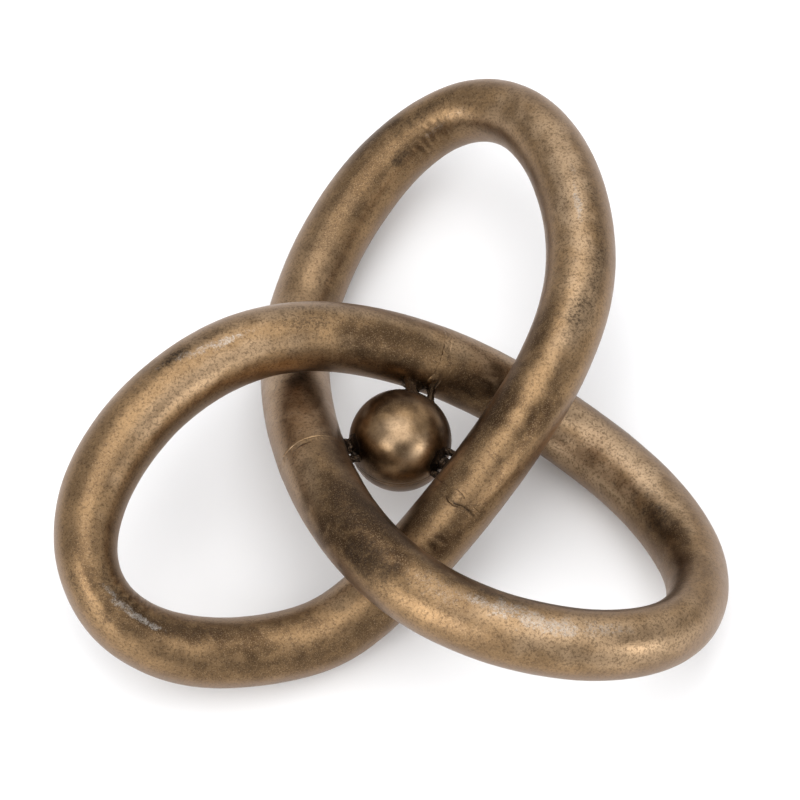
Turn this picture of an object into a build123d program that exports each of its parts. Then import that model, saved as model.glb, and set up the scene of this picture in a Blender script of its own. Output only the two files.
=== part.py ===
from build123d import *
import os
from math import cos, radians, sin

# A rigid ornamental knot: one closed strand of round tube, passing over and under itself three
# times, with a hollow ball held at its middle on three short studs. Millimetres, +Z up.
# The origin is at the middle of the footprint, on the surface that the three felt pads rest on.
# The strand is followed by its "turn", 0 to 360 degrees in one lap: the rear loop's tip is at
# turn 0, the left loop's at 120 and the right loop's at 240. Each loop crosses over the strand
# just after its tip and passes under it just before.

os.makedirs("parts", exist_ok=True)

# ---- driving dimensions ----
TUBE_RADIUS = 12.7              # one-inch round tube
TUBE_WALL = 1.5

# The plan is drawn by six arms, each carried on the end of the one before: turns that the arm
# makes in one lap (negative is clockwise), its length, and its heading at turn 0.
PLAN_ARMS = (
    (1, 41.8, 11.0),
    (-2, 78.7, 0.0),
    (4, 1.8, -81.0),
    (-5, 8.7, 53.4),
    (7, 2.4, 0.0),
    (-8, 2.4, 0.0),
)
# The strand rises and falls in waves: waves in one lap, and height.
HEIGHT_WAVES = ((3, 23.5), (6, -1.3), (9, 1.7))
# The three hand-bent loops differ a little: how far each reaches, and how far it leans round.
LOOP_REACH = (1.084, 0.957, 0.959)
LOOP_LEAN = (-4.1, 5.7, -1.6)

KNOT_HEADING = 77.6             # the way the rear loop points, from +X
KNOT_X = 5.6                    # the strand's own centre, from the middle of the footprint
KNOT_Y = -21.5

BALL_RADIUS = 18.5
BALL_WALL = 1.2
BALL_SHIFT_X = -1.1             # the ball's centre, from the strand's own centre
BALL_SHIFT_Y = -1.9
BALL_SEAM_WIDTH = 1.5

ROOT_GAP = 1.6                  # between two tube ends, filled by the butt weld
BEAD_HALF_WIDTH = 2.2
BEAD_HALF_DEPTH = 1.0           # dressed almost flush with the tube
SEAM_LEADS = (1.0, 1.4, -3.0)   # turn from the strand's closest point to the ball, to each seam
STUD_LEADS = (-1.2, 0.1, -1.2)  # and to each stud
STUD_RADIUS = 3.0
STUD_WELD_LEG = 2.2             # how far a stud's weld spreads over the tube and the ball
STUD_WELD_SHARE = 0.42          # how much of the free gap each stud weld fills

PAD_RADIUS = 5.0
PAD_HEIGHT = 2.8
PAD_WEB = 1.8                   # felt left under the tube's lowest line

# ---- values that follow from them ----
LAP = 360
LOOPS = 3
LOOP_TURN = LAP / LOOPS
LOOP_NAMES = ("rear", "left", "right")
SEAM_NAMES = ("rear_left", "left_right", "right_rear")
STATION_STEP = 6.0              # turn from one point of a path to the next
STRETCH_TURN = 12.0             # half a trimming stretch
TRIM_CLEARANCE = 0.04           # how much fatter than the tube it is
SEARCH_STEP = 0.1
WELD_BITE = 0.8                 # a weld starts this far inside a wall before it is trimmed to it


def loop_share(turn, loop):
    """How much a place on the strand belongs to a loop: 1 at its tip, 0 at the other tips."""
    return (1 + 2 * cos(radians(turn - LOOP_TURN * loop))) / LOOPS


def strand_height(turn):
    return sum(height * sin(radians(waves * turn)) for waves, height in HEIGHT_WAVES)


def strand_point(turn):
    """A point of the strand's centreline."""
    reach = sum(LOOP_REACH[loop] * loop_share(turn, loop) for loop in range(LOOPS))
    lean = sum(LOOP_LEAN[loop] * loop_share(turn, loop) for loop in range(LOOPS))
    x = 0.0
    y = 0.0
    for turns, length, heading in PLAN_ARMS:
        angle = radians(turns * turn + heading + lean + KNOT_HEADING)
        x += reach * length * cos(angle)
        y += reach * length * sin(angle)
    return Vector(KNOT_X + x, KNOT_Y + y, KNOT_Z + strand_height(turn))


def strand_direction(turn):
    return (strand_point(turn + SEARCH_STEP) - strand_point(turn - SEARCH_STEP)).normalized()


def strand_speed(turn):
    """Millimetres of strand in one degree of turn."""
    return (strand_point(turn + SEARCH_STEP) - strand_point(turn - SEARCH_STEP)).length / 2 / SEARCH_STEP


def station_plane(turn):
    """The plane square to the strand, its x axis pointing up across the tube."""
    direction = strand_direction(turn)
    upward = Vector(0, 0, 1) - direction * direction.Z
    return Plane(origin=strand_point(turn), x_dir=upward, z_dir=direction)


def best_turn(first, last, measure):
    """The turn between first and last where measure(turn) is smallest."""
    steps = round((last - first) / SEARCH_STEP)
    return min((first + SEARCH_STEP * step for step in range(steps + 1)), key=measure)


# The lowest points of the strand stand on the pads, one just before each loop's tip.
LOW_TURNS = [
    best_turn(LOOP_TURN * (loop - 0.5), LOOP_TURN * loop, strand_height) for loop in range(LOOPS)
]
KNOT_Z = PAD_WEB + TUBE_RADIUS - min(strand_height(turn) for turn in LOW_TURNS)
BALL_CENTRE = Vector(KNOT_X + BALL_SHIFT_X, KNOT_Y + BALL_SHIFT_Y, KNOT_Z)


def ball_distance(turn):
    return (strand_point(turn) - BALL_CENTRE).length


# The strand passes closest to the ball about half way from one loop's tip to the next.
CLOSEST_TURNS = [
    best_turn(LOOP_TURN * (seam + 0.25), LOOP_TURN * (seam + 0.75), ball_distance) for seam in range(LOOPS)
]
SEAM_TURNS = [turn + lead for turn, lead in zip(CLOSEST_TURNS, SEAM_LEADS)]
STUD_TURNS = [turn + lead for turn, lead in zip(CLOSEST_TURNS, STUD_LEADS)]


def strand_path(first, last, station_step=STATION_STEP):
    """The strand's centreline from one turn to another, as one smooth wire."""
    count = round((last - first) / station_step)
    turns = [first + (last - first) * station / count for station in range(count + 1)]
    with BuildLine() as path:
        Spline(*map(strand_point, turns), tangents=[strand_direction(first), strand_direction(last)])
    return path.wire()


def solid_stretch(turn):
    """A short length of the strand with no bore, to trim what meets the tube there."""
    first = turn - STRETCH_TURN
    path = strand_path(first, turn + STRETCH_TURN, STATION_STEP / 2)
    with BuildPart() as stretch:
        with BuildSketch(station_plane(first)):
            Circle(TUBE_RADIUS + TRIM_CLEARANCE)
        sweep(path=path)
    return stretch.part


# ---- the three loop tubes, each from one seam to the next ----
loop_tubes = []
for loop, loop_name in enumerate(LOOP_NAMES):
    before = SEAM_TURNS[loop - 1] - (LAP if loop == 0 else 0)
    after = SEAM_TURNS[loop]
    first = before + ROOT_GAP / 2 / strand_speed(before)
    last = after - ROOT_GAP / 2 / strand_speed(after)
    loop_path = strand_path(first, last)

    with BuildPart() as loop_tube:
        with BuildSketch(station_plane(first)):
            Circle(TUBE_RADIUS)
            Circle(TUBE_RADIUS - TUBE_WALL, mode=Mode.SUBTRACT)
        sweep(path=loop_path)
    loop_tube.part.label = f"{loop_name}_loop_tube"
    export_step(loop_tube.part, f"parts/{loop_tube.part.label}.step")
    loop_tubes.append(loop_tube.part)

# ---- the butt weld that joins each loop to the next ----
butt_welds = []
for seam, seam_name in enumerate(SEAM_NAMES):
    seam_plane = station_plane(SEAM_TURNS[seam])
    bead_plane = Plane(origin=seam_plane.origin, x_dir=seam_plane.x_dir, z_dir=seam_plane.y_dir)

    with BuildPart() as butt_weld:
        with BuildSketch(bead_plane):
            with Locations((TUBE_RADIUS - TUBE_WALL / 2, 0)):
                Ellipse(BEAD_HALF_DEPTH, BEAD_HALF_WIDTH)
        revolve(axis=Axis(seam_plane.origin, seam_plane.z_dir))
        add(loop_tubes[seam], mode=Mode.SUBTRACT)
        add(loop_tubes[(seam + 1) % LOOPS], mode=Mode.SUBTRACT)
    butt_weld.part.label = f"{seam_name}_butt_weld"
    export_step(butt_weld.part, f"parts/{butt_weld.part.label}.step")
    butt_welds.append(butt_weld.part)

# ---- the ball: two pressed half shells and the weld between them, dressed flush ----
ball_zones = {
    "ball_lower_shell": (-BALL_RADIUS, -BALL_SEAM_WIDTH / 2),
    "ball_seam_weld": (-BALL_SEAM_WIDTH / 2, BALL_SEAM_WIDTH / 2),
    "ball_upper_shell": (BALL_SEAM_WIDTH / 2, BALL_RADIUS),
}
for zone_name, (zone_bottom, zone_top) in ball_zones.items():
    zone_height = zone_top - zone_bottom
    zone_plane = Plane(BALL_CENTRE).offset(zone_bottom)

    with BuildPart(Plane(BALL_CENTRE)) as ball_zone:
        Sphere(BALL_RADIUS)
        Sphere(BALL_RADIUS - BALL_WALL, mode=Mode.SUBTRACT)
        with BuildSketch(zone_plane):
            Circle(2 * BALL_RADIUS)
        extrude(amount=zone_height, mode=Mode.INTERSECT)
    ball_zone.part.label = zone_name
    export_step(ball_zone.part, f"parts/{zone_name}.step")

# ---- the studs that hold the ball, and the welds at their two ends ----
for seam, seam_name in enumerate(SEAM_NAMES):
    strand = strand_point(STUD_TURNS[seam])
    outward = (strand - BALL_CENTRE).normalized()
    wall_distance = (strand - BALL_CENTRE).length - TUBE_RADIUS
    stud_gap = wall_distance - BALL_RADIUS
    weld_height = STUD_WELD_SHARE * stud_gap + WELD_BITE
    stud_plane = Plane(origin=BALL_CENTRE, z_dir=outward)
    tube_stretch = solid_stretch(STUD_TURNS[seam])

    with BuildPart() as stud:
        with BuildSketch(stud_plane.offset(BALL_RADIUS - WELD_BITE)):
            Circle(STUD_RADIUS)
        extrude(amount=stud_gap + 2 * WELD_BITE)
        add(tube_stretch, mode=Mode.SUBTRACT)
        with Locations(BALL_CENTRE):
            Sphere(BALL_RADIUS, mode=Mode.SUBTRACT)
    stud.part.label = f"{seam_name}_stud"
    export_step(stud.part, f"parts/{stud.part.label}.step")

    weld_ends = {
        "ball": (BALL_RADIUS - WELD_BITE, STUD_RADIUS + STUD_WELD_LEG, STUD_RADIUS),
        "tube": (wall_distance + WELD_BITE - weld_height, STUD_RADIUS, STUD_RADIUS + STUD_WELD_LEG),
    }
    for end_name, (start, inner_end_radius, outer_end_radius) in weld_ends.items():
        with BuildPart() as stud_weld:
            with BuildSketch(stud_plane.offset(start)):
                Circle(inner_end_radius)
            with BuildSketch(stud_plane.offset(start + weld_height)):
                Circle(outer_end_radius)
            loft()
            with BuildSketch(stud_plane.offset(start - WELD_BITE)):
                Circle(STUD_RADIUS)
            extrude(amount=weld_height + 2 * WELD_BITE, mode=Mode.SUBTRACT)
            add(tube_stretch, mode=Mode.SUBTRACT)
            add(butt_welds[seam], mode=Mode.SUBTRACT)
            with Locations(BALL_CENTRE):
                Sphere(BALL_RADIUS, mode=Mode.SUBTRACT)
        stud_weld.part.label = f"{seam_name}_stud_{end_name}_weld"
        export_step(stud_weld.part, f"parts/{stud_weld.part.label}.step")

# ---- a felt pad under each loop's lowest point, cupped to the tube ----
for loop, loop_name in enumerate(LOOP_NAMES):
    low_point = strand_point(LOW_TURNS[loop])
    tube_stretch = solid_stretch(LOW_TURNS[loop])

    with BuildPart() as pad:
        with BuildSketch(Plane((low_point.X, low_point.Y, 0))):
            Circle(PAD_RADIUS)
        extrude(amount=PAD_HEIGHT)
        add(tube_stretch, mode=Mode.SUBTRACT)
    pad.part.label = f"{loop_name}_loop_pad"
    export_step(pad.part, f"parts/{pad.part.label}.step")
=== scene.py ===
"""The looks of a rigid ornamental knot: an antique brass tube welded into one closed strand, and a
hollow brass ball held at its middle on three welded studs. Lengths are millimetres until a mesh is
made; the scene itself is in metres. The strand is followed by its turn, 0 to 360 degrees in one
lap: the rear loop's tip is at turn 0, the left loop's at 120 and the right loop's at 240. A place
round the tube is an angle from its upper line, positive towards the inside of the bend."""
from math import cos, pi, radians, sin

import bpy
import numpy as np
from mathutils import Matrix, Vector, noise
from mathutils.bvhtree import BVHTree


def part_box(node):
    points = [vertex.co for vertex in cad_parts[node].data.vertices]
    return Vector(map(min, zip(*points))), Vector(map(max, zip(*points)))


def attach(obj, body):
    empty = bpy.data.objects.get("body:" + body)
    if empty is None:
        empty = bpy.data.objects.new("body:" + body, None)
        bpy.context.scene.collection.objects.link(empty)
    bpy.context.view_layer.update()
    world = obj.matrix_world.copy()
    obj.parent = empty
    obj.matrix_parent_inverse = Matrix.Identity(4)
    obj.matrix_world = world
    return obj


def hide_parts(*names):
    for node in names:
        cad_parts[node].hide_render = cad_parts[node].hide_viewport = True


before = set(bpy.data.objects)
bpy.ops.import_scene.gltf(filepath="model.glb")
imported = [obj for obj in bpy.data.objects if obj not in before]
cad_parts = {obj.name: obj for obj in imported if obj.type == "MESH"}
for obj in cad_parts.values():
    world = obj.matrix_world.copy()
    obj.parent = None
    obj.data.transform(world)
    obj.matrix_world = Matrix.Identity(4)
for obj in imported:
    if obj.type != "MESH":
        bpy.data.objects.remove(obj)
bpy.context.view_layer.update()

MM = 0.001
BODY = "root"

# ---- the strand, as the frame is drawn ----
# Six arms, each carried on the end of the one before: turns in one lap, length, heading at turn 0.
PLAN_ARMS = (
    (1, 41.8, 11.0),
    (-2, 78.7, 0.0),
    (4, 1.8, -81.0),
    (-5, 8.7, 53.4),
    (7, 2.4, 0.0),
    (-8, 2.4, 0.0),
)
HEIGHT_WAVES = ((3, 23.5), (6, -1.3), (9, 1.7))
LOOP_REACH = (1.084, 0.957, 0.959)
LOOP_LEAN = (-4.1, 5.7, -1.6)
KNOT_HEADING = 77.6
BALL_SHIFT = np.array((-1.1, -1.9, 0.0))        # from the strand's own centre
LOOPS = ("rear", "left", "right")
SEAMS = ("rear_left", "left_right", "right_rear")
LOOP_TURN = 120.0

TUBE_RADIUS = 12.7
TUBE_WALL = 1.5
TIP_PINCH = 2.0                 # taken off the tube's radius across, at a loop's tip
TIP_RISE = 0.4                  # and added to its radius upward there
TIP_SHARPNESS = 12              # higher keeps the flattening closer to the tip

BALL_RADIUS = 18.5
BALL_WALL = 1.2
BALL_SEAM_WIDTH = 1.5

# ---- mesh fineness ----
RING_POINTS = 112
STATION_GAP = 0.8
BORE_STATION_GAP = 4.0


def middle(node):
    """The middle of a CAD node's box, in millimetres."""
    low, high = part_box(node)
    return np.array((low + high) / 2) / MM


BALL_CENTRE = middle("ball_seam_weld")
KNOT_CENTRE = BALL_CENTRE - BALL_SHIFT


# ---- strand geometry ----
def loop_share(turn, loop):
    return (1 + 2 * np.cos(np.radians(turn - LOOP_TURN * loop))) / len(LOOPS)


def strand_point(turn):
    """Points of the strand's centreline at an array of turns."""
    turn = np.asarray(turn, float)
    reach = sum(LOOP_REACH[loop] * loop_share(turn, loop) for loop in range(len(LOOPS)))
    lean = sum(LOOP_LEAN[loop] * loop_share(turn, loop) for loop in range(len(LOOPS)))
    x = np.zeros_like(turn)
    y = np.zeros_like(turn)
    for turns, length, heading in PLAN_ARMS:
        angle = np.radians(turns * turn + heading + lean + KNOT_HEADING)
        x += reach * length * np.cos(angle)
        y += reach * length * np.sin(angle)
    z = sum(height * np.sin(np.radians(waves * turn)) for waves, height in HEIGHT_WAVES)
    return KNOT_CENTRE + np.stack((x, y, z), axis=-1)


def unit(vectors):
    return vectors / np.linalg.norm(vectors, axis=-1, keepdims=True)


def strand_frame(turn):
    """Centre, direction, upward and inward unit vectors at an array of turns."""
    step = 0.05
    turn = np.asarray(turn, float)
    along = unit(strand_point(turn + step) - strand_point(turn - step))
    upward = np.array((0.0, 0.0, 1.0)) - along * along[..., 2:3]
    upward = unit(upward)
    return strand_point(turn), along, upward, np.cross(along, upward)


LAP_TURNS = np.linspace(-180.0, 540.0, 7201)
LAP_LENGTH = np.concatenate(
    ([0.0], np.cumsum(np.linalg.norm(np.diff(strand_point(LAP_TURNS), axis=0), axis=1)))
)


def length_at(turn):
    """Distance along the strand to a turn."""
    return np.interp(turn, LAP_TURNS, LAP_LENGTH)


def turn_at(length):
    return np.interp(length, LAP_LENGTH, LAP_TURNS)


def nearest_turn(point, around):
    """The turn nearest a point, looked for within half a loop of the turn around."""
    turns = np.linspace(around - LOOP_TURN / 2, around + LOOP_TURN / 2, 2401)
    return turns[np.argmin(np.linalg.norm(strand_point(turns) - point, axis=1))]


def smooth_step(value, low, high):
    share = np.clip((value - low) / (high - low), 0.0, 1.0)
    return share * share * (3 - 2 * share)


# ---- noise, the same each run ----
def fractal(points, size, octaves=3, shift=0.0):
    """Smooth noise, about -1 to 1, whose lumps are size millimetres across."""
    flat = points.reshape(-1, 3) / size + shift
    values = [noise.fractal(Vector(p), 1.0, 2.0, octaves) for p in flat]
    return np.array(values).reshape(points.shape[:-1])


def ridged(points, size, shift=0.0):
    """Noise with thin crests, 0 to 1."""
    return 1.0 - np.clip(np.abs(fractal(points, size, 2, shift)) * 3.0, 0.0, 1.0)


# ---- marks on the tube ----
# Turn, angle round the tube, half length, half width, strength. The edge of each is ragged.
SILVER_MARKS = (                # patina rubbed or flaked off down to pale bare metal
    (155.0, 8, 9, 2.2, 0.8),
    (152.0, 1, 8, 2.0, 0.65),
    (149.5, -8, 5, 2.6, 0.55),
    (147.0, -22, 5, 1.2, 0.45),
    (145.5, -18, 12, 2.2, 0.3),
    (119.8, 8, 4, 1.6, 0.75),
    (117.3, 3, 6, 2.6, 0.7),
    (114.5, 0, 7, 1.8, 0.9),
    (112.2, -3, 5, 1.4, 0.8),
    (21.5, -3, 6, 1.2, 0.5),
    (25.5, 1, 9, 1.6, 0.8),
    (32.0, 4, 12, 2.0, 0.3),
    (266.5, 7, 8, 3.0, 0.65),
    (263.0, 8, 12, 4.5, 0.75),
    (259.0, -4, 12, 4.5, 0.8),
    (254.0, -2, 10, 3.6, 0.65),
    (271.0, -2, 14, 7.0, 0.4),
    (256.0, -8, 10, 3.0, 0.45),
    (357.0, 48, 9, 2.2, 0.5),
    (2.0, 40, 7, 2.0, 0.4),
    (213.0, 4, 16, 4.0, 0.35),
    (221.0, 8, 14, 4.0, 0.3),
)
DARK_MARKS = (                  # soot-dark patina
    (149.0, -18, 8, 2.6, 0.9),
    (154.0, -14, 7, 1.8, 0.5),
    (146.3, -46, 4, 2.0, 0.5),
    (163.5, 2, 11, 5.0, 0.45),
    (118.5, 14, 12, 3.0, 0.55),
    (108.0, 8, 20, 4.0, 0.35),
    (264.5, 30, 12, 2.2, 0.65),
    (278.0, -26, 12, 8.0, 0.6),
    (283.0, 10, 16, 9.0, 0.5),
    (38.5, -14, 9, 4.5, 0.6),
    (32.0, -34, 22, 3.0, 0.45),
    (24.0, -26, 8, 2.5, 0.35),
    (350.0, 36, 6, 3.0, 0.75),
    (357.0, 2, 16, 3.0, 0.4),
    (120.8, -42, 12, 3.5, 0.4),
    (224.5, 32, 16, 5.0, 0.6),
    (240.0, 40, 14, 4.0, 0.5),
    (166.0, -20, 14, 5.0, 0.3),
)
PALE_PATINA_AND_HIGHLIGHT_ZONES = (                  # broad places painted pale: partly worn places where the patina is thin, partly painted highlight
    (22.0, 5, 48, 7, 0.75),
    (38.0, -22, 20, 6, 0.6),
    (10.0, 76, 30, 9, 0.4),
    (165.0, -28, 45, 6, 0.6),
    (152.0, 38, 55, 4, 0.5),
    (183.0, -24, 26, 11, 0.85),
    (191.0, 0, 10, 6, 0.7),
    (206.0, -5, 62, 8, 0.9),
    (206.0, 50, 36, 8, 0.8),
    (254.0, -18, 42, 9, 0.5),
    (250.0, -48, 34, 7, 0.6),
    (300.0, 10, 26, 16, 0.9),
    (301.0, 58, 22, 10, 0.8),
    (290.0, -42, 20, 8, 0.6),
    (88.0, 58, 26, 4, 0.5),
    (103.0, 45, 36, 5, 0.75),
    (72.0, 32, 22, 8, 0.4),
    (325.0, 0, 40, 10, 0.25),
)
DEEP_PATINA_AND_SHADE_ZONES = (                  # broad dark brown places: partly thick patina, partly painted shade
    (49.0, -38, 18, 6, 0.9),
    (50.0, 32, 24, 8, 0.95),
    (60.0, -46, 18, 6, 0.7),
    (60.0, 18, 20, 6, 0.7),
    (80.0, -62, 60, 6, 0.6),
    (104.0, 1, 48, 5, 0.85),
    (99.0, -20, 16, 4, 0.8),
    (118.0, -8, 26, 6, 0.6),
    (172.0, 30, 28, 9, 0.8),
    (182.0, 50, 26, 11, 0.85),
    (188.0, 30, 12, 6, 0.7),
    (204.0, -58, 50, 5, 0.6),
    (229.0, 20, 24, 6, 0.8),
    (228.0, 82, 30, 10, 0.6),
    (249.0, 96, 18, 6, 0.9),
    (256.0, 60, 36, 4, 0.8),
    (271.0, 42, 28, 8, 0.7),
    (282.0, 8, 32, 22, 0.95),
    (290.0, 30, 14, 8, 0.55),
    (350.0, -54, 30, 9, 1.0),
    (343.0, 10, 40, 8, 0.55),
    (352.0, 46, 14, 7, 0.4),
    (41.0, 40, 14, 6, 0.8),
    (322.0, 62, 16, 5, 0.45),
)
WELD_HEAT_REACH = 9.0           # patina is darker this far from a weld
# Folds pressed up by the bend. Their strength is their height.
RUCKLES = ((357.0, 52, 16, 6.0, 0.22), (117.0, 30, 14, 6.0, 0.14), (62.6, -36, 6, 3.6, 0.10))
RUCKLE_PITCH = 4.2
STEPPED_SEAM = 2                # the seam past which the next tube stands a little proud
STEP_HEIGHT = 0.08
STEP_REACH = 11.0               # how far on it has sunk back


def mark_mask(marks, turn, around, ragged):
    """How strongly a set of marks covers each place, 0 to 1."""
    cover = np.zeros(np.broadcast(turn, around).shape)
    for mark_turn, mark_around, half_length, half_width, strength in marks:
        lap = np.round((turn - mark_turn) / 360.0) * 360.0
        along = length_at(turn - lap) - length_at(mark_turn)
        across = np.radians((around - mark_around + 180) % 360 - 180) * TUBE_RADIUS
        distance = np.hypot(along / half_length, across / half_width) + 0.55 * ragged
        cover = np.maximum(cover, strength * (1 - smooth_step(distance, 0.35, 1.35)))
    return cover


# ---- meshes ----
def new_piece(name, points, faces, material, attributes=None):
    """A mesh object from millimetre points and quads or triangles."""
    mesh = bpy.data.meshes.new(name)
    mesh.from_pydata((points * MM).tolist(), [], faces)
    mesh.polygons.foreach_set("use_smooth", [True] * len(mesh.polygons))
    for key, values in (attributes or {}).items():
        layer = mesh.attributes.new(key, "FLOAT", "POINT")
        layer.data.foreach_set("value", np.asarray(values, np.float32).ravel())
    mesh.materials.append(material)
    mesh.update()
    piece = bpy.data.objects.new(name, mesh)
    bpy.context.scene.collection.objects.link(piece)
    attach(piece, BODY)
    return piece


def ring_faces(rings, count, closed):
    """Quads between neighbouring rings of count points; closed joins the last ring to the first."""
    faces = []
    for ring in range(rings if closed else rings - 1):
        here = ring * count
        there = (ring + 1) % rings * count
        for k in range(count):
            after = (k + 1) % count
            faces.append((here + k, here + after, there + after, there + k))
    return faces


def capped_faces(rings, count):
    """Quads between rings, and a fan at each end to one more point each, numbered last."""
    faces = ring_faces(rings, count, closed=False)
    first_tip = rings * count
    last_ring = (rings - 1) * count
    for k in range(count):
        after = (k + 1) % count
        faces.append((after, k, first_tip))
        faces.append((last_ring + k, last_ring + after, first_tip + 1))
    return faces


# ---- the tube ----
def tip_share(turn):
    """1 at a loop's tip, falling quickly to 0 away from it."""
    return (0.5 + 0.5 * np.cos(3 * np.radians(turn))) ** TIP_SHARPNESS


def tube_surface(turn, around, depth=0.0):
    """Points and outward normals of the smooth tube, depth millimetres under its outer face."""
    centre, _, upward, inward = strand_frame(turn)
    tight = tip_share(turn)[..., None]
    tall = TUBE_RADIUS + TIP_RISE * tight
    wide = TUBE_RADIUS - TIP_PINCH * tight
    angle = np.radians(around)[..., None]
    normal = unit(upward * np.cos(angle) / tall + inward * np.sin(angle) / wide)
    point = centre + upward * np.cos(angle) * tall + inward * np.sin(angle) * wide
    return point - normal * depth, normal


def ruckles(turn, around, ragged):
    """Shallow folds across the inside of a tight bend."""
    folds = mark_mask(RUCKLES, turn, around, ragged)
    phase = length_at(turn) / RUCKLE_PITCH * 2 * pi + 1.5 * ragged
    return folds * (np.cos(phase) - 0.3)


def seam_step(turn):
    """How far the later tube stands proud just past the stepped seam."""
    past = length_at(turn) - length_at(SEAM_TURNS[STEPPED_SEAM])
    past = np.where(past < -STEP_REACH, past + length_at(360.0) - length_at(0.0), past)
    return STEP_HEIGHT * smooth_step(past, -0.4, 0.5) * (1 - smooth_step(past, 0.5, STEP_REACH))


def tube_relief(points, turn, around, silver, dark):
    """How far the handmade surface stands proud of the smooth tube."""
    hand = 0.20 * fractal(points, 34.0, 2) + 0.06 * fractal(points, 14.0, 1, 5.0)
    hand += 0.02 * fractal(points, 5.0, 2, 9.0)
    grain = 0.018 * fractal(points, 1.7, 2, 21.0)
    flakes = silver * (0.07 * ridged(points, 2.6, 4.0) - 0.05)
    pits = -0.12 * np.clip(fractal(points, 2.3, 1, 33.0) - 0.42, 0.0, 1.0)
    scale = dark * 0.05 * fractal(points, 2.2, 2, 15.0)
    folds = ruckles(turn, around, fractal(points, 5.0, 1))
    return hand + grain + flakes + pits + scale + folds + seam_step(turn)


SEAM_TURNS = [
    nearest_turn(middle(f"{seam}_butt_weld"), LOOP_TURN * (k + 0.5)) for k, seam in enumerate(SEAMS)
]
ROOT_GAP = 1.6                  # between two tube ends, filled by the butt weld


def heat_near_seams(turn):
    """1 at a seam, 0 beyond the reach of the weld's heat."""
    reach = np.full(np.shape(turn), 1e3)
    for seam_turn in SEAM_TURNS:
        lap = np.round((turn - seam_turn) / 360.0) * 360.0
        reach = np.minimum(reach, np.abs(length_at(turn - lap) - length_at(seam_turn)))
    return 1 - smooth_step(reach, 2.0, WELD_HEAT_REACH)


def patina(points, turn, around):
    """Everything the patina does at each place, with its painted highlight and painted shade, as the
    attributes the brass reads.
    """
    ragged = fractal(points, 3.2, 3, 2.0)
    drift = fractal(points, 9.0, 3, 27.0)
    return {
        "silver": mark_mask(SILVER_MARKS, turn, around, ragged),
        "dark": mark_mask(DARK_MARKS, turn, around, ragged),
        "pale": mark_mask(PALE_PATINA_AND_HIGHLIGHT_ZONES, turn, around, drift),
        "deep": mark_mask(DEEP_PATINA_AND_SHADE_ZONES, turn, around, drift),
        "heat": heat_near_seams(turn),
    }


def outer_points(turn, around):
    """The finished outer surface, and its patina with painted highlight and painted shade."""
    smooth, normal = tube_surface(turn, around)
    cover = patina(smooth, turn, around)
    relief = tube_relief(smooth, turn, around, cover["silver"], cover["dark"])
    return smooth + normal * relief[..., None], cover


def build_tube(loop, material):
    """One loop's hollow tube, from the seam before its tip to the seam after."""
    first = length_at(SEAM_TURNS[loop - 1] - (360.0 if loop == 0 else 0.0)) + ROOT_GAP / 2
    last = length_at(SEAM_TURNS[loop]) - ROOT_GAP / 2
    around = np.arange(RING_POINTS) * 360.0 / RING_POINTS
    outer_turn = turn_at(np.linspace(first, last, round((last - first) / STATION_GAP)))
    bore_turn = turn_at(np.linspace(last, first, round((last - first) / BORE_STATION_GAP)))

    turn, angle = np.meshgrid(outer_turn, around, indexing="ij")
    outer, cover = outer_points(turn, angle)
    bore_grid = np.meshgrid(bore_turn, around, indexing="ij")
    bore, _ = tube_surface(*bore_grid, depth=TUBE_WALL)

    points = np.concatenate((outer, bore)).reshape(-1, 3)
    blank = np.zeros(bore.shape[:2])
    rings = len(outer_turn) + len(bore_turn)
    attributes = {key: np.concatenate((values, blank)) for key, values in cover.items()}
    faces = ring_faces(rings, RING_POINTS, closed=True)
    name = LOOPS[loop]
    piece = new_piece(f"{name}_loop_brass_tube", points, faces, material, attributes)
    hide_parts(f"{name}_loop_tube")
    return piece


# ---- butt welds ----
BEAD_HALF_WIDTH = 1.6
BEAD_CROWN = 0.035
BEAD_ROOT = 2.0
BEAD_POINTS = 200
BEAD_RIPPLE = 2.3               # spacing round the tube of the ripples left by the torch
BEAD_RIPPLE_HEIGHT = 0.015
# A lump left where the torch stopped: seam, angle round the tube, half angle, extra half width
# along the strand, extra crown.
BEAD_LUMPS = (
    (0, -8, 12.0, 1.2, 0.6),
    (2, -64, 7.0, 0.3, 0.1),
    (1, 70, 14.0, 0.8, 0.4),
)
# A groove along the weld's edge, darkened as painted shade: seam, angle round the tube, half angle,
# strength.
SHADED_SEAM_GROOVES = ((0, -26, 24, 1.0), (2, -22, 52, 0.65), (1, 75, 20, 0.8))
LINE_SHARE = 0.55               # where the line lies, from the bead's middle to its edge
LINE_WIDTH_SHARE = 0.16
LINE_DEPTH = 0.10
# The pinhole in the first seam's lump, where gas escaped.
PINHOLE_SEAM = 0
PINHOLE_AROUND = -8
PINHOLE_RADIUS = 0.55
PINHOLE_DEPTH = 0.9


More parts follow.
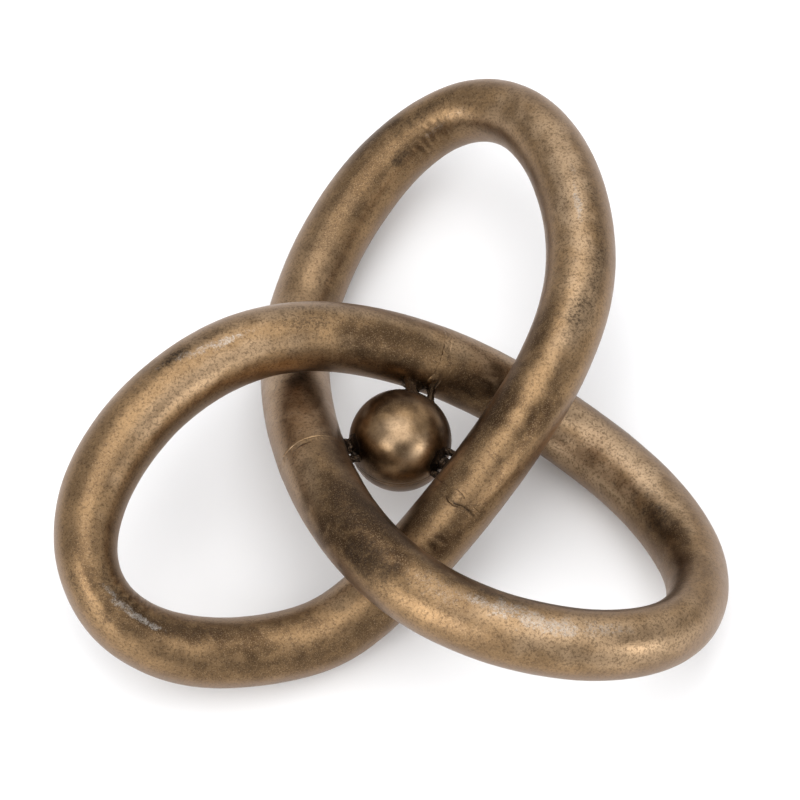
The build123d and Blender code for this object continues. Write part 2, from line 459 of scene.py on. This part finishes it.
def build_butt_weld(seam, material):
    """A ring of weld metal: an uneven crown over the joint, and a root between the tube's ends."""
    around = np.arange(BEAD_POINTS) * 360.0 / BEAD_POINTS
    centre_length = length_at(SEAM_TURNS[seam])
    bearing = np.radians(around)
    lap = np.stack((np.cos(bearing), np.sin(bearing), np.full_like(around, 3.0 * seam)), -1)
    width = BEAD_HALF_WIDTH * (1 + 0.22 * fractal(lap * 5, 1.0, 2))
    crown = BEAD_CROWN * (1 + 0.5 * fractal(lap * 4, 1.0, 2, 7.0))
    crown += BEAD_RIPPLE_HEIGHT * np.cos(np.radians(around) * TUBE_RADIUS / BEAD_RIPPLE * 2 * pi)
    lump = np.zeros_like(around)
    wander = 0.5 * fractal(lap * 2, 1.0, 2, 12.0)
    for lump_seam, lump_around, spread, extra_width, extra_crown in BEAD_LUMPS:
        if lump_seam == seam:
            off = (around - lump_around + 180) % 360 - 180
            bump = np.exp(-((off / spread) ** 4))
            width += extra_width * bump
            lump += extra_crown * bump

    line = np.zeros_like(around)
    for line_seam, line_around, spread, strength in SHADED_SEAM_GROOVES:
        if line_seam == seam:
            off = (around - line_around + 180) % 360 - 180
            line = np.maximum(line, strength * np.exp(-((off / spread) ** 4)))

    cap_share = np.linspace(-1.0, 1.0, 25)
    half_root = ROOT_GAP / 2
    root = ((half_root, -0.15), (half_root, -BEAD_ROOT + 0.3), (0.0, -BEAD_ROOT),
            (-half_root, -BEAD_ROOT + 0.3), (-half_root, -0.15))
    section_along = [share * width + wander for share in cap_share]
    section_height = [
        crown * (1 - share ** 2) ** 1.5 + lump * (1 - share ** 4) ** 0.7 - 0.03 * share ** 4
        for share in cap_share
    ]
    section_line = [line * np.exp(-(((share - LINE_SHARE) / LINE_WIDTH_SHARE) ** 2)) for share in cap_share]
    for along, height in root:
        section_along.append(np.full_like(around, along))
        section_height.append(np.full_like(around, height))
        section_line.append(np.zeros_like(around))

    along = np.stack(section_along)
    height = np.stack(section_height)
    groove = np.stack(section_line)
    turn = turn_at(centre_length + along)
    angle = np.broadcast_to(around, along.shape)
    smooth, normal = tube_surface(turn, angle)
    cover = patina(smooth, turn, angle)
    relief = tube_relief(smooth, turn, angle, cover["silver"], cover["dark"])
    lumps = 0.02 * fractal(smooth, 1.6, 2, 40.0) * (height > 0)
    pinhole = np.zeros(along.shape)
    if seam == PINHOLE_SEAM:
        off = np.hypot(along - 0.2 * width, np.radians(angle - PINHOLE_AROUND) * TUBE_RADIUS)
        pinhole = np.exp(-((off / PINHOLE_RADIUS) ** 2))
    proud = relief + height + lumps - PINHOLE_DEPTH * pinhole - LINE_DEPTH * groove
    points = smooth + normal * proud[..., None]
    # Painted shade: the pinhole and the grooves are darkened as their hollows would be in shade.
    cover["dark"] = np.clip(cover["dark"] + pinhole * 1.5 + groove, 0, 1)
    faces = ring_faces(len(along), BEAD_POINTS, closed=True)
    name = SEAMS[seam]
    piece = new_piece(
        f"{name}_butt_weld_bead", points.reshape(-1, 3), faces, material, cover
    )
    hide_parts(f"{name}_butt_weld")


# ---- the ball ----
BALL_RING_POINTS = 160
BALL_RINGS = 64
# Painted highlight and painted shade on the ball, with dark reflections of the tubes and studs: direction
# from its centre, half size in degrees, strength.
BALL_PAINTED_HIGHLIGHT = (((0.39, -0.70, 0.60), 24, 0.8), ((-0.10, -0.38, 0.92), 24, 0.6))
BALL_PAINTED_SHADE = (
    ((0.04, -0.66, 0.75), 10, 0.6),
    ((-0.76, -0.62, 0.18), 40, 1.0),
    ((-0.15, 0.42, 0.90), 31, 1.0),
    ((0.93, -0.18, 0.32), 31, 1.0),
    ((0.05, -0.88, -0.47), 32, 0.8),
)


def ball_cover(points):
    """The ball's painted highlight and painted shade, as the attributes the brass reads."""
    aim = unit(points)
    drift = fractal(points, 5.0, 3, 31.0)
    cover = {}
    for key, zones in (("pale", BALL_PAINTED_HIGHLIGHT), ("deep", BALL_PAINTED_SHADE)):
        cover[key] = np.zeros(points.shape[:-1])
        for direction, half_size, strength in zones:
            off = np.degrees(np.arccos(np.clip(aim @ unit(np.array(direction)), -1.0, 1.0)))
            share = 1 - smooth_step(off / half_size + 0.4 * drift, 0.3, 1.4)
            cover[key] = np.maximum(cover[key], strength * share)
    return cover


def ball_relief(points):
    return 0.05 * fractal(points, 15.0, 1, 3.0) + 0.004 * fractal(points, 3.0, 2, 17.0)


def ball_zone(low_height, high_height, radius):
    """Rings of a sphere about the ball's centre, from one height to another."""
    low = np.arcsin(np.clip(low_height / radius, -1, 1))
    high = np.arcsin(np.clip(high_height / radius, -1, 1))
    rise = np.linspace(low, high, BALL_RINGS)[:, None]
    angle = (np.arange(BALL_RING_POINTS) * 2 * pi / BALL_RING_POINTS)[None, :]
    return np.stack(
        (np.cos(rise) * np.cos(angle), np.cos(rise) * np.sin(angle), np.sin(rise) + 0 * angle), -1
    ) * radius


def build_ball_shell(node, side, material):
    """A pressed half shell: its outer face, the lip at the seam and its inner face."""
    edge = side * BALL_SEAM_WIDTH / 2
    pole_gap = 0.02
    outer = ball_zone(side * (BALL_RADIUS - pole_gap), edge, BALL_RADIUS)
    inner = ball_zone(edge, side * (BALL_RADIUS - BALL_WALL - pole_gap), BALL_RADIUS - BALL_WALL)
    rings = np.concatenate((outer, inner))
    proud = np.concatenate((ball_relief(outer), np.zeros(inner.shape[:2])))
    rings = rings + unit(rings) * proud[..., None]
    poles = np.array(((0, 0, side * BALL_RADIUS), (0, 0, side * (BALL_RADIUS - BALL_WALL))))
    points = np.concatenate((rings.reshape(-1, 3), poles))
    faces = capped_faces(len(rings), BALL_RING_POINTS)
    if side > 0:
        faces = [tuple(reversed(f)) for f in faces]
    cover = ball_cover(points)
    name = f"{node}_pressing"
    piece = new_piece(name, points + BALL_CENTRE, faces, material, cover)
    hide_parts(node)


def build_ball_seam(material):
    """The weld round the ball's middle, dressed flush."""
    half = BALL_SEAM_WIDTH / 2
    outer = ball_zone(-half, half, BALL_RADIUS)[:: BALL_RINGS // 8]
    inner = ball_zone(half, -half, BALL_RADIUS - BALL_WALL)[:: BALL_RINGS // 8]
    outer = outer + unit(outer) * (ball_relief(outer) + 0.02)[..., None]
    rings = np.concatenate((outer, inner))
    faces = ring_faces(len(rings), BALL_RING_POINTS, closed=True)
    points = rings.reshape(-1, 3)
    cover = ball_cover(points)
    name = "ball_seam_weld_bead"
    piece = new_piece(name, points + BALL_CENTRE, faces, material, cover)
    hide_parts("ball_seam_weld")


# ---- studs and their welds ----
STUD_RADIUS = 2.7
STUD_BITE = 0.5
STUD_RING_POINTS = 72
# How dark each seam's stud, runs and fillets are painted: weld soot, and painted shade where they sit in
# the dark gap between ball and tube.
STUD_SOOT_AND_SHADE = (0.95, 0.7, 0.95)
# Weld metal that ran down beside a stud, painted dark with it, and partly painted shade where it fills the
# shaded gap
# between ball and tube: seam, its foot on the ball and its head on the tube, each along and across
# the strand, and the radius of each end.
RUNS = (
    (0, (-4.5, 0.5), (-4.8, 0.6), 1.4, 1.7),
    (0, (4.6, 0.6), (5.0, 0.8), 1.5, 1.9),
    (1, (-2.4, -11.0), (-2.6, -2.6), 2.3, 2.9),
    (1, (5.2, -8.6), (6.0, -2.4), 1.5, 2.0),
    (2, (4.4, 0.8), (4.8, 0.8), 1.2, 1.6),
    (2, (-4.8, 1.5), (-5.0, 1.2), 1.5, 1.9),
)


def stud_axes(seam):
    """The stud's outward axis, the strand's direction across it, and the third direction."""
    outward = unit(middle(f"{SEAMS[seam]}_stud") - BALL_CENTRE)
    turn = nearest_turn(middle(f"{SEAMS[seam]}_stud"), LOOP_TURN * (seam + 0.5))
    _, along, _, _ = strand_frame(np.array(turn))
    along = unit(along - outward * (along @ outward))
    return outward, along, np.cross(outward, along)


class Gap:
    """The space between the ball and the tube round one stud, in the stud's own directions."""

    def __init__(self, seam, tube_tree):
        self.outward, self.along, self.across = stud_axes(seam)
        self.tube_tree = tube_tree

    def ball_height(self, x, y):
        return np.sqrt(np.maximum(BALL_RADIUS ** 2 - x * x - y * y, 0.0))

    def tube_height(self, x, y):
        """Where a line from the ball's middle plane, parallel to the stud, meets the tube."""
        heights = np.empty(np.shape(x))
        for place in np.ndindex(heights.shape):
            start = BALL_CENTRE + self.along * x[place] + self.across * y[place]
            hit = self.tube_tree.ray_cast(Vector(start), Vector(self.outward))
            heights[place] = hit[3] if hit[0] else BALL_RADIUS + TUBE_RADIUS
        return heights

    def place(self, x, y, height):
        return (BALL_CENTRE + self.along * x[..., None] + self.across * y[..., None]
                + self.outward * height[..., None])


def run_points(gap, foot, head, foot_radius, head_radius, seed):
    """Rings of a lumpy run of metal from inside the ball's wall to inside the tube's."""
    angle = np.arange(STUD_RING_POINTS) * 2 * pi / STUD_RING_POINTS
    share = np.linspace(0.0, 1.0, 22)
    share_grid, angle_grid = np.meshgrid(share, angle, indexing="ij")
    radius = foot_radius + (head_radius - foot_radius) * share_grid ** 2
    radius = radius * (1 - 0.18 * np.sin(share_grid * pi))
    circle = np.stack((np.cos(angle_grid), np.sin(angle_grid), share_grid * 2.5), -1)
    radius = radius * (1 + 0.2 * fractal(circle * 2.2, 1.0, 3, seed))
    x = foot[0] + (head[0] - foot[0]) * share_grid + np.cos(angle_grid) * radius
    y = foot[1] + (head[1] - foot[1]) * share_grid + np.sin(angle_grid) * radius
    low = gap.ball_height(x[:1], y[:1]) - STUD_BITE
    high = gap.tube_height(x[-1:], y[-1:]) + STUD_BITE
    points = gap.place(x, y, low + (high - low) * share_grid)
    tips = np.stack((points[0].mean(0), points[-1].mean(0)))
    return np.concatenate((points.reshape(-1, 3), tips)), capped_faces(len(share), len(angle))


def build_stud(seam, gap, material):
    """The stud, with the weld metal that ran down beside it."""
    middle_run = (seam, (0.0, 0.0), (0.0, 0.0), STUD_RADIUS, STUD_RADIUS)
    all_points = []
    all_faces = []
    start = 0
    for number, (run_seam, *run) in enumerate((middle_run,) + RUNS):
        if run_seam == seam:
            points, faces = run_points(gap, *run, 5.0 + seam + number)
            all_points.append(points)
            all_faces += [tuple(start + k for k in face) for face in faces]
            start += len(points)
    points = np.concatenate(all_points)
    name = SEAMS[seam]
    # Weld soot and painted shade: the stud and its runs are painted dark.
    attributes = {key: np.full(len(points), STUD_SOOT_AND_SHADE[seam]) for key in ("dark", "deep")}
    piece = new_piece(f"{name}_stud_pin", points, all_faces, material, attributes)
    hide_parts(f"{name}_stud")


def build_stud_weld(seam, gap, end, material):
    """A hollow-faced fillet of weld metal where the stud meets the ball or the tube."""
    angle = np.arange(STUD_RING_POINTS) * 2 * pi / STUD_RING_POINTS
    circle = np.stack((np.cos(angle), np.sin(angle), np.full_like(angle, 2.0 * seam)), -1)
    seed = 3.0 if end == "ball" else 13.0
    spread = 2.5 + 0.8 * fractal(circle * 2.5, 1.0, 2, seed)
    climb = 1.1 + 0.4 * fractal(circle * 2.0, 1.0, 2, seed + 4)
    share = np.linspace(0.0, 1.0, 12)[:, None]
    reach = STUD_RADIUS * 0.92 + spread * share
    x = reach * np.cos(angle)
    y = reach * np.sin(angle)
    base = gap.ball_height(x, y) if end == "ball" else gap.tube_height(x, y)
    side = 1.0 if end == "ball" else -1.0
    ripple = 0.07 * fractal(gap.place(x, y, base), 1.3, 2, 50.0)
    face_height = base + side * (climb * (1 - share) ** 2 + ripple * (1 - share) + 0.03)
    under_height = base - side * 0.12
    face_rows = gap.place(x, y, face_height)
    under_rows = gap.place(x, y, under_height)[::-1]
    rings = np.concatenate((face_rows, under_rows))
    faces = ring_faces(len(rings), len(angle), closed=True)
    if end == "ball":
        faces = [tuple(reversed(face)) for face in faces]
    count = rings.shape[0] * rings.shape[1]
    # Weld soot and painted shade: the fillet is painted dark.
    attributes = {key: np.full(count, STUD_SOOT_AND_SHADE[seam]) for key in ("dark", "deep")}
    name = SEAMS[seam]
    piece = new_piece(f"{name}_stud_{end}_fillet", rings.reshape(-1, 3), faces, material,
                      attributes)
    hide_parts(f"{name}_stud_{end}_weld")


# ---- felt pads ----
PAD_RADIUS = 5.0
PAD_HEIGHT = 2.8
PAD_EDGE = 0.5                  # how far the cut edge rounds over
PAD_RING_POINTS = 120


def build_pad(loop, tube_tree, material):
    """A felt disc pressed up against the tube, its edge a little furry."""
    centre = middle(f"{LOOPS[loop]}_loop_pad")
    angle = np.arange(PAD_RING_POINTS) * 2 * pi / PAD_RING_POINTS
    top_reach = np.linspace(0.15, PAD_RADIUS - PAD_EDGE, 26)
    edge_turn = np.linspace(0, pi / 2, 5)
    reach = np.concatenate((top_reach, PAD_RADIUS - PAD_EDGE + PAD_EDGE * np.sin(edge_turn)))
    x = reach[:, None] * np.cos(angle)
    y = reach[:, None] * np.sin(angle)
    top = np.full(x.shape, PAD_HEIGHT)
    for place in np.ndindex(top.shape):
        start = Vector((centre[0] + x[place], centre[1] + y[place], -1.0))
        hit = tube_tree.ray_cast(start, Vector((0, 0, 1)))
        if hit[0]:
            top[place] = min(PAD_HEIGHT, hit[0].z - 0.05)
    edge_share = ((reach - PAD_RADIUS + PAD_EDGE) / PAD_EDGE).clip(0, 1)
    edge_drop = PAD_EDGE * (1 - np.sqrt(np.clip(1 - edge_share ** 2, 0, 1)))
    top = top - edge_drop[:, None]
    side = np.linspace(top[-1], np.full(len(angle), 0.3), 7)[1:]
    side_x = np.broadcast_to(x[-1], side.shape)
    side_y = np.broadcast_to(y[-1], side.shape)
    base_reach = np.linspace(PAD_RADIUS - 0.15, 0.15, 12)[:, None]
    rings = np.concatenate((
        np.stack((x, y, top), -1),
        np.stack((side_x, side_y, side), -1),
        np.stack((base_reach * np.cos(angle), base_reach * np.sin(angle), 0 * base_reach * angle), -1),
    ))
    rings = rings + np.array((centre[0], centre[1], 0.0))
    fuzz = 0.10 * fractal(rings, 0.9, 3, 60.0) + 0.12 * fractal(rings, 3.0, 2, 70.0)
    outward = rings - np.array((centre[0], centre[1], 0.0))
    outward[..., 2] = 0
    length = np.linalg.norm(outward, axis=-1, keepdims=True)
    rim = smooth_step(length[..., 0], PAD_RADIUS - 1.5, PAD_RADIUS - 0.3)
    rings = rings + outward / length * (fuzz * rim)[..., None]
    rings[..., 2] = np.maximum(rings[..., 2], 0.0)
    tips = np.stack((rings[0].mean(0), rings[-1].mean(0)))
    points = np.concatenate((rings.reshape(-1, 3), tips))
    faces = [tuple(reversed(face)) for face in capped_faces(len(rings), len(angle))]
    name = LOOPS[loop]
    piece = new_piece(f"{name}_felt_pad", points, faces, material)
    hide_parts(f"{name}_loop_pad")


# ---- materials ----
class Nodes:
    """Small helper that writes a material's node tree."""

    def __init__(self, name):
        self.material = bpy.data.materials.new(name)
        self.material.use_nodes = True
        self.tree = self.material.node_tree
        self.tree.nodes.clear()
        self.output = self.tree.nodes.new("ShaderNodeOutputMaterial")
        self.place = self.tree.nodes.new("ShaderNodeTexCoord").outputs["Object"]

    def link(self, value, socket):
        if hasattr(value, "is_output"):
            self.tree.links.new(value, socket)
        elif value is not None:
            socket.default_value = value

    def noise(self, size, detail=4.0, roughness=0.6, distortion=0.0):
        """Noise whose lumps are size millimetres across, about 0 to 1."""
        node = self.tree.nodes.new("ShaderNodeTexNoise")
        self.link(self.place, node.inputs["Vector"])
        node.inputs["Scale"].default_value = 1.0 / (size * MM)
        node.inputs["Detail"].default_value = detail
        node.inputs["Roughness"].default_value = roughness
        node.inputs["Distortion"].default_value = distortion
        return node.outputs["Fac"]

    def facing(self):
        """0 where the surface faces the eye, 1 at its outline."""
        node = self.tree.nodes.new("ShaderNodeLayerWeight")
        node.inputs["Blend"].default_value = 0.5
        return node.outputs["Facing"]

    def attribute(self, name):
        node = self.tree.nodes.new("ShaderNodeAttribute")
        node.attribute_name = name
        return node.outputs["Fac"]

    def math(self, operation, a, b=None, clamp=False):
        node = self.tree.nodes.new("ShaderNodeMath")
        node.operation = operation
        node.use_clamp = clamp
        self.link(a, node.inputs[0])
        self.link(b, node.inputs[1])
        return node.outputs[0]

    def ramp(self, value, low, high, out_low=0.0, out_high=1.0):
        """A smooth change from out_low to out_high as value goes from low to high."""
        node = self.tree.nodes.new("ShaderNodeMapRange")
        node.interpolation_type = "SMOOTHSTEP"
        self.link(value, node.inputs["Value"])
        limits = {"From Min": low, "From Max": high, "To Min": out_low, "To Max": out_high}
        for socket, number in limits.items():
            node.inputs[socket].default_value = number
        return node.outputs["Result"]

    def mix(self, share, a, b):
        node = self.tree.nodes.new("ShaderNodeMix")
        node.data_type = "RGBA"
        self.link(share, node.inputs["Factor"])
        self.link(a, node.inputs[6])
        self.link(b, node.inputs[7])
        return node.outputs[2]

    def bump(self, height, depth, strength, normal=None):
        """Relief depth millimetres deep."""
        node = self.tree.nodes.new("ShaderNodeBump")
        node.inputs["Strength"].default_value = strength
        node.inputs["Distance"].default_value = depth * MM
        self.link(height, node.inputs["Height"])
        if normal is not None:
            self.link(normal, node.inputs["Normal"])
        return node.outputs["Normal"]

    def surface(self, **values):
        node = self.tree.nodes.new("ShaderNodeBsdfPrincipled")
        for key, value in values.items():
            self.link(value, node.inputs[key.replace("_", " ")])
        self.tree.links.new(node.outputs["BSDF"], self.output.inputs["Surface"])
        return self.material


def colour(red, green, blue):
    return (red, green, blue, 1.0)


GOLD = colour(0.290, 0.183, 0.092)
OLD_GOLD = colour(0.170, 0.106, 0.055)
# The pale colour is worn brass and painted highlight; the deep brown is thick patina and painted shade; the
# soot colour is soot and painted shade.
PALE_AND_HIGHLIGHT = colour(0.45, 0.320, 0.200)
DEEP_AND_SHADE = colour(0.040, 0.022, 0.0105)
UMBER = colour(0.066, 0.040, 0.024)
SOOT_AND_SHADE = colour(0.020, 0.015, 0.012)
BARE = colour(0.37, 0.335, 0.295)
GLINT = colour(0.36, 0.25, 0.145)
# Painted sheen: the grey-brown a surface seen edge-on is mixed towards, standing in for the floor's
# reflection.
PAINTED_EDGE_SHEEN = colour(0.245, 0.184, 0.140)
EDGE_TINT = colour(0.92, 0.86, 0.82)
FELT_DARK = colour(0.020, 0.014, 0.010)
FELT_LIGHT = colour(0.075, 0.055, 0.040)
FELT_TUFT = colour(0.045, 0.034, 0.026)


BRASS_ROUGHNESS = 0.31
PAINTED_SHEEN_STRENGTH = 0.65             # how far a surface seen edge-on goes towards the painted edge sheen, which stands in for the floor's reflection
PAINTED_SHEEN_LOSS = 0.75                 # and how much of that a dark place loses


def brass_patina_and_painted_light(name, speckle=1.0):
    """Antique brass: gold through a speckled brown patina, with the marks of the attributes, painted
    highlight and shade among them, and a painted sheen at the outline.
    """
    n = Nodes(name)
    cloud = n.noise(20.0, 3.0, 0.55)
    blotch = n.noise(7.0, 4.0, 0.6, 0.6)
    grain = n.noise(0.95, 4.0, 0.75)
    dust = n.noise(0.45, 2.0, 0.7)

    shade = n.math("MULTIPLY", n.ramp(cloud, 0.35, 0.65), 0.5)
    shade = n.math("ADD", shade, n.math("MULTIPLY", n.ramp(blotch, 0.33, 0.67), 0.5))
    base = n.mix(shade, OLD_GOLD, GOLD)
    # Pale: worn patina, and painted highlight on the ball and in streaks on the tubes.
    pale_and_highlight_share = n.math("MULTIPLY", n.attribute("pale"), n.ramp(blotch, 0.25, 0.6, 0.55, 1.0))
    base = n.mix(pale_and_highlight_share, base, PALE_AND_HIGHLIGHT)
    # Deep: thick dark patina, and painted shade on the tubes, the ball and the studs.
    deep_and_shade_share = n.math("MULTIPLY", n.attribute("deep"), n.ramp(blotch, 0.45, 0.75, 1.0, 0.6))
    base = n.mix(deep_and_shade_share, base, DEEP_AND_SHADE)
    speck_share = n.math("MULTIPLY", n.ramp(grain, 0.47, 0.62), 0.62 * speckle)
    base = n.mix(speck_share, base, UMBER)
    glint_share = n.math("MULTIPLY", n.ramp(dust, 0.52, 0.68), 0.42 * speckle)
    base = n.mix(glint_share, base, GLINT)

    heat_share = n.math("MULTIPLY", n.attribute("heat"), n.ramp(blotch, 0.25, 0.75, 0.15, 0.6))
    base = n.mix(heat_share, base, UMBER)
    # Dark: soot marks, and painted shade on the studs, in the weld grooves and in the pinhole.
    crusted = n.ramp(grain, 0.30, 0.62, 0.35, 1.0)
    dark_share = n.math("MULTIPLY", n.attribute("dark"), crusted, clamp=True)
    base = n.mix(dark_share, base, SOOT_AND_SHADE)
    silver = n.attribute("silver")
    chip = n.noise(1.0, 5.0, 0.78, 1.2)
    chipped = n.math("ADD", chip, n.math("MULTIPLY", silver, 0.24))
    silver_limit = n.ramp(silver, 0.0, 0.8, 0.0, 0.85)
    silver_share = n.math("MULTIPLY", n.ramp(chipped, 0.56, 0.86), silver_limit)
    base = n.mix(silver_share, base, BARE)

    rough = n.ramp(blotch, 0.3, 0.7, BRASS_ROUGHNESS - 0.05, BRASS_ROUGHNESS + 0.07)
    rough = n.math("ADD", rough, n.math("MULTIPLY", grain, 0.10 * speckle))
    rough = n.math("SUBTRACT", rough, n.math("MULTIPLY", silver_share, 0.04))
    rough = n.math("ADD", rough, n.math("MULTIPLY", dark_share, 0.12))
    # Painted sheen: surfaces seen edge-on are mixed towards a grey-brown that stands in for the floor's
    # reflection; dark places keep less of it.
    painted_sheen_share = n.math("MULTIPLY", n.ramp(n.facing(), 0.25, 0.75), PAINTED_SHEEN_STRENGTH)
    darkened_share = n.math("MULTIPLY", n.math("MAXIMUM", deep_and_shade_share, dark_share), PAINTED_SHEEN_LOSS)
    painted_sheen_share = n.math("MULTIPLY", painted_sheen_share, n.math("SUBTRACT", 1.0, darkened_share))
    base = n.mix(painted_sheen_share, base, PAINTED_EDGE_SHEEN)

    normal = n.bump(grain, 0.10, 0.6 * speckle)
    normal = n.bump(blotch, 0.12, 0.20, normal)
    return n.surface(
        Base_Color=base, Metallic=1.0, Roughness=rough, Specular_Tint=EDGE_TINT, Normal=normal
    )


def felt(name):
    n = Nodes(name)
    fibre = n.noise(0.35, 6.0, 0.75, 2.5)
    tuft = n.noise(2.0, 4.0, 0.6)
    base = n.mix(n.ramp(fibre, 0.35, 0.65), FELT_DARK, FELT_LIGHT)
    base = n.mix(n.ramp(tuft, 0.4, 0.7, 0.0, 0.5), base, FELT_TUFT)
    normal = n.bump(fibre, 0.25, 0.8)
    return n.surface(
        Base_Color=base, Roughness=0.95, Sheen_Weight=0.35, Sheen_Roughness=0.6, Normal=normal
    )


def floor_paper(name):
    n = Nodes(name)
    tone = n.mix(n.noise(60.0, 3.0), colour(0.92, 0.925, 0.93), colour(0.94, 0.945, 0.95))
    return n.surface(Base_Color=tone, Roughness=0.85)


# ---- stage ----
FLOOR_SIZE = 8.0
VIEW_ELEVATION = 59.23
VIEW_ROLL = -2.11
VIEW_OFFSET = Vector((1.12, 12.87, 1634.55)) * MM       # right, down and ahead to the strand's centre
LENS = 204.1
SENSOR = 36.0


def build_floor():
    half = FLOOR_SIZE / 2 / MM
    points = np.array(((-half, -half, 0), (half, -half, 0), (half, half, 0), (-half, half, 0)), float)
    mesh = bpy.data.meshes.new("floor")
    mesh.from_pydata((points * MM).tolist(), [], [(0, 1, 2, 3)])
    mesh.materials.append(floor_paper("floor_paper"))
    floor = bpy.data.objects.new("floor", mesh)
    bpy.context.scene.collection.objects.link(floor)


def soft_light(name, width, height, power, azimuth, elevation, distance):
    """A softbox facing the knot. Azimuth 0 is beyond it, 90 to its right."""
    data = bpy.data.lights.new(name, "AREA")
    data.shape = "RECTANGLE"
    data.size = width
    data.size_y = height
    data.energy = power
    light = bpy.data.objects.new(name, data)
    bearing = radians(azimuth)
    rise = radians(elevation)
    away = Vector((sin(bearing) * cos(rise), cos(bearing) * cos(rise), sin(rise)))
    light.location = Vector(KNOT_CENTRE * MM) + away * distance
    light.rotation_mode = "QUATERNION"
    light.rotation_quaternion = away.to_track_quat("Z", "Y")
    bpy.context.scene.collection.objects.link(light)


WALL_LIGHT = 0.80
# Softboxes: name, width, height, power, azimuth, elevation, distance.
SOFTBOXES = (
    ("overhead_softbox", 1.1, 1.9, 12.5, 0.0, 86.0, 1.3),
    ("left_softbox", 0.7, 1.3, 13.0, -138.0, 24.0, 1.6),
    ("right_softbox", 0.5, 0.9, 6.0, 131.0, 20.0, 1.6),
    ("back_softbox", 1.8, 0.9, 2.4, 25.0, 32.0, 1.8),
)


def build_lights():
    for name, width, height, power, azimuth, elevation, distance in SOFTBOXES:
        soft_light(name, width, height, power, azimuth, elevation, distance)
    world = bpy.data.worlds.new("studio")
    world.use_nodes = True
    background = world.node_tree.nodes["Background"]
    background.inputs["Color"].default_value = colour(0.98, 0.98, 1.0)
    background.inputs["Strength"].default_value = WALL_LIGHT
    bpy.context.scene.world = world


def build_camera():
    data = bpy.data.cameras.new("camera")
    data.lens = LENS
    data.sensor_width = SENSOR
    data.clip_end = 100.0
    camera = bpy.data.objects.new("camera", data)
    rolled = Matrix.Rotation(radians(VIEW_ROLL), 3, "Z")
    turned = rolled @ Matrix.Rotation(radians(90 + VIEW_ELEVATION), 3, "X")
    right, down, ahead = turned
    camera.location = Vector(KNOT_CENTRE * MM) - turned.transposed() @ VIEW_OFFSET
    camera.rotation_mode = "QUATERNION"
    camera.rotation_quaternion = Matrix((right, -down, -ahead)).transposed().to_quaternion()
    bpy.context.scene.collection.objects.link(camera)
    bpy.context.scene.camera = camera


def mesh_tree(pieces):
    """A ray-casting tree of several pieces' meshes, in millimetres."""
    points = []
    faces = []
    for piece in pieces:
        start = len(points)
        points += [vertex.co / MM for vertex in piece.data.vertices]
        faces += [tuple(start + k for k in face.vertices) for face in piece.data.polygons]
    return BVHTree.FromPolygons(points, faces)


tube_brass = brass_patina_and_painted_light("tube_brass")
weld_brass = brass_patina_and_painted_light("weld_brass", speckle=1.1)
ball_brass = brass_patina_and_painted_light("ball_brass", speckle=0.45)
pad_felt = felt("pad_felt")

tubes = [build_tube(loop, tube_brass) for loop in range(len(LOOPS))]
tube_tree = mesh_tree(tubes)
for seam in range(len(SEAMS)):
    build_butt_weld(seam, weld_brass)
    gap = Gap(seam, tube_tree)
    build_stud(seam, gap, weld_brass)
    build_stud_weld(seam, gap, "ball", weld_brass)
    build_stud_weld(seam, gap, "tube", weld_brass)
build_ball_shell("ball_upper_shell", 1, ball_brass)
build_ball_shell("ball_lower_shell", -1, ball_brass)
build_ball_seam(ball_brass)
for loop in range(len(LOOPS)):
    build_pad(loop, tube_tree, pad_felt)

build_floor()
build_lights()
build_camera()
bpy.context.scene.view_settings.view_transform = "Standard"
